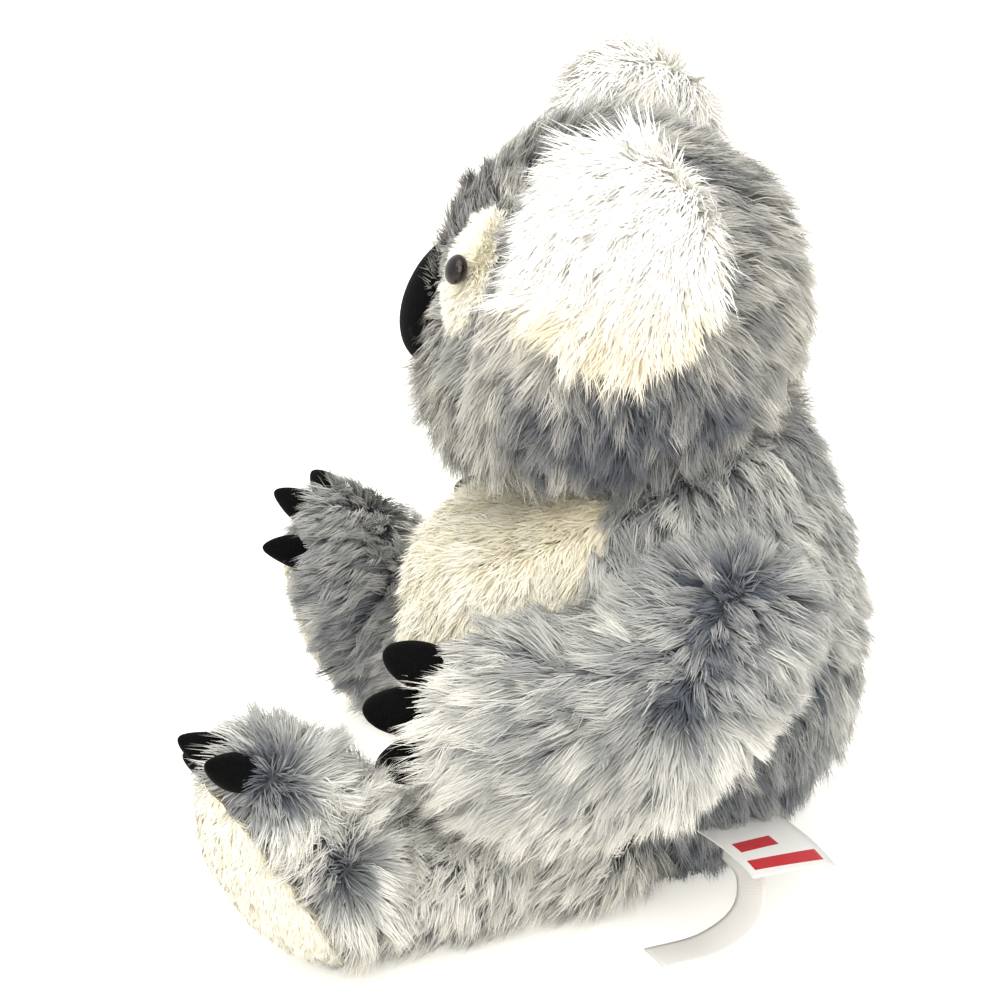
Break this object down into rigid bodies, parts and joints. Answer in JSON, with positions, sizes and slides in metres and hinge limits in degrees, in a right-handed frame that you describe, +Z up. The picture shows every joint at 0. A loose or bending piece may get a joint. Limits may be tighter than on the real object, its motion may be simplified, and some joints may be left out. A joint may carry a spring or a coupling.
{
  "type": "plush koala",
  "caption": "Seated plush koala with long grey fur, a cream belly, fluffy white ears, a black nose and small black claws; its head turns and its arms and legs swing.",
  "frame": {"origin": "under the body, on the flat seat that the toy rests on", "axes": "+Z up, the face to -Y, the left side of the koala to +X"},
  "size_m": [0.206, 0.1789, 0.2135],
  "materials": {
    "grey_plush": "long blue-grey fur with darker roots",
    "cream_plush": "long cream fur",
    "white_plush": "extra long white fur",
    "pale_plush": "pale grey fur",
    "short_pile": "short cream pile",
    "stuffing": "loose polyester fill",
    "pellet_cloth": "woven bag of pellets",
    "nose_suede": "matt black suede cloth",
    "claw_cloth": "black suede cloth",
    "eye_plastic": "glossy, almost black",
    "washer_plastic": "white",
    "ribbon": "white satin"
  },
  "bodies": {
    "torso": {"back_panel": "grey_plush", "belly_panel": "cream_plush", "torso_stuffing": "stuffing", "pellet_bag": "pellet_cloth", "sewn_label": "ribbon", "satin_ribbon": "ribbon"},
    "head": {"head_back_panel": "grey_plush", "face_panel": "grey_plush", "chin_panel": "pale_plush", "head_stuffing": "stuffing", "nose": "nose_suede", "left_eye_patch": "short_pile", "left_eye": "eye_plastic", "left_eye_washer": "washer_plastic", "left_ear_face": "white_plush", "left_ear_back": "grey_plush", "right_eye_patch": "short_pile", "right_eye": "eye_plastic", "right_eye_washer": "washer_plastic", "right_ear_face": "white_plush", "right_ear_back": "grey_plush"},
    "left_arm": {"left_arm_outer_panel": "grey_plush", "left_arm_inner_panel": "pale_plush", "left_arm_stuffing": "stuffing", "left_hand_claw_1": "claw_cloth", "left_hand_claw_2": "claw_cloth", "left_hand_claw_3": "claw_cloth"},
    "left_leg": {"left_leg_panel": "grey_plush", "left_foot_panel": "pale_plush", "left_foot_sole": "short_pile", "left_leg_stuffing": "stuffing", "left_foot_claw_1": "claw_cloth", "left_foot_claw_2": "claw_cloth", "left_foot_claw_3": "claw_cloth"},
    "right_arm": {"right_arm_outer_panel": "grey_plush", "right_arm_inner_panel": "pale_plush", "right_arm_stuffing": "stuffing", "right_hand_claw_1": "claw_cloth", "right_hand_claw_2": "claw_cloth", "right_hand_claw_3": "claw_cloth"},
    "right_leg": {"right_leg_panel": "grey_plush", "right_foot_panel": "pale_plush", "right_foot_sole": "short_pile", "right_leg_stuffing": "stuffing", "right_foot_claw_1": "claw_cloth", "right_foot_claw_2": "claw_cloth", "right_foot_claw_3": "claw_cloth"}
  },
  "joints": [
    {"name": "head_turn", "type": "hinge", "parent": "torso", "child": "head", "pos_m": [0, 0.006, 0.119], "axis": [0, -0.4226, 0.9063], "range_deg": [-20, 20]},
    {"name": "left_arm_swing", "type": "hinge", "parent": "torso", "child": "left_arm", "pos_m": [0.04125, 0.036, 0.1], "axis": [-0.9877, 0, -0.1564], "range_deg": [0, 28]},
    {"name": "left_leg_sweep", "type": "hinge", "parent": "torso", "child": "left_leg", "pos_m": [0.034, -0.012, 0.019], "axis": [0, 0, 1], "range_deg": [-8, 3]},
    {"name": "right_arm_swing", "type": "hinge", "parent": "torso", "child": "right_arm", "pos_m": [-0.04125, 0.036, 0.1], "axis": [-0.9877, 0, 0.1564], "range_deg": [0, 28]},
    {"name": "right_leg_sweep", "type": "hinge", "parent": "torso", "child": "right_leg", "pos_m": [-0.034, -0.012, 0.019], "axis": [0, 0, -1], "range_deg": [-8, 3]}
  ]
}
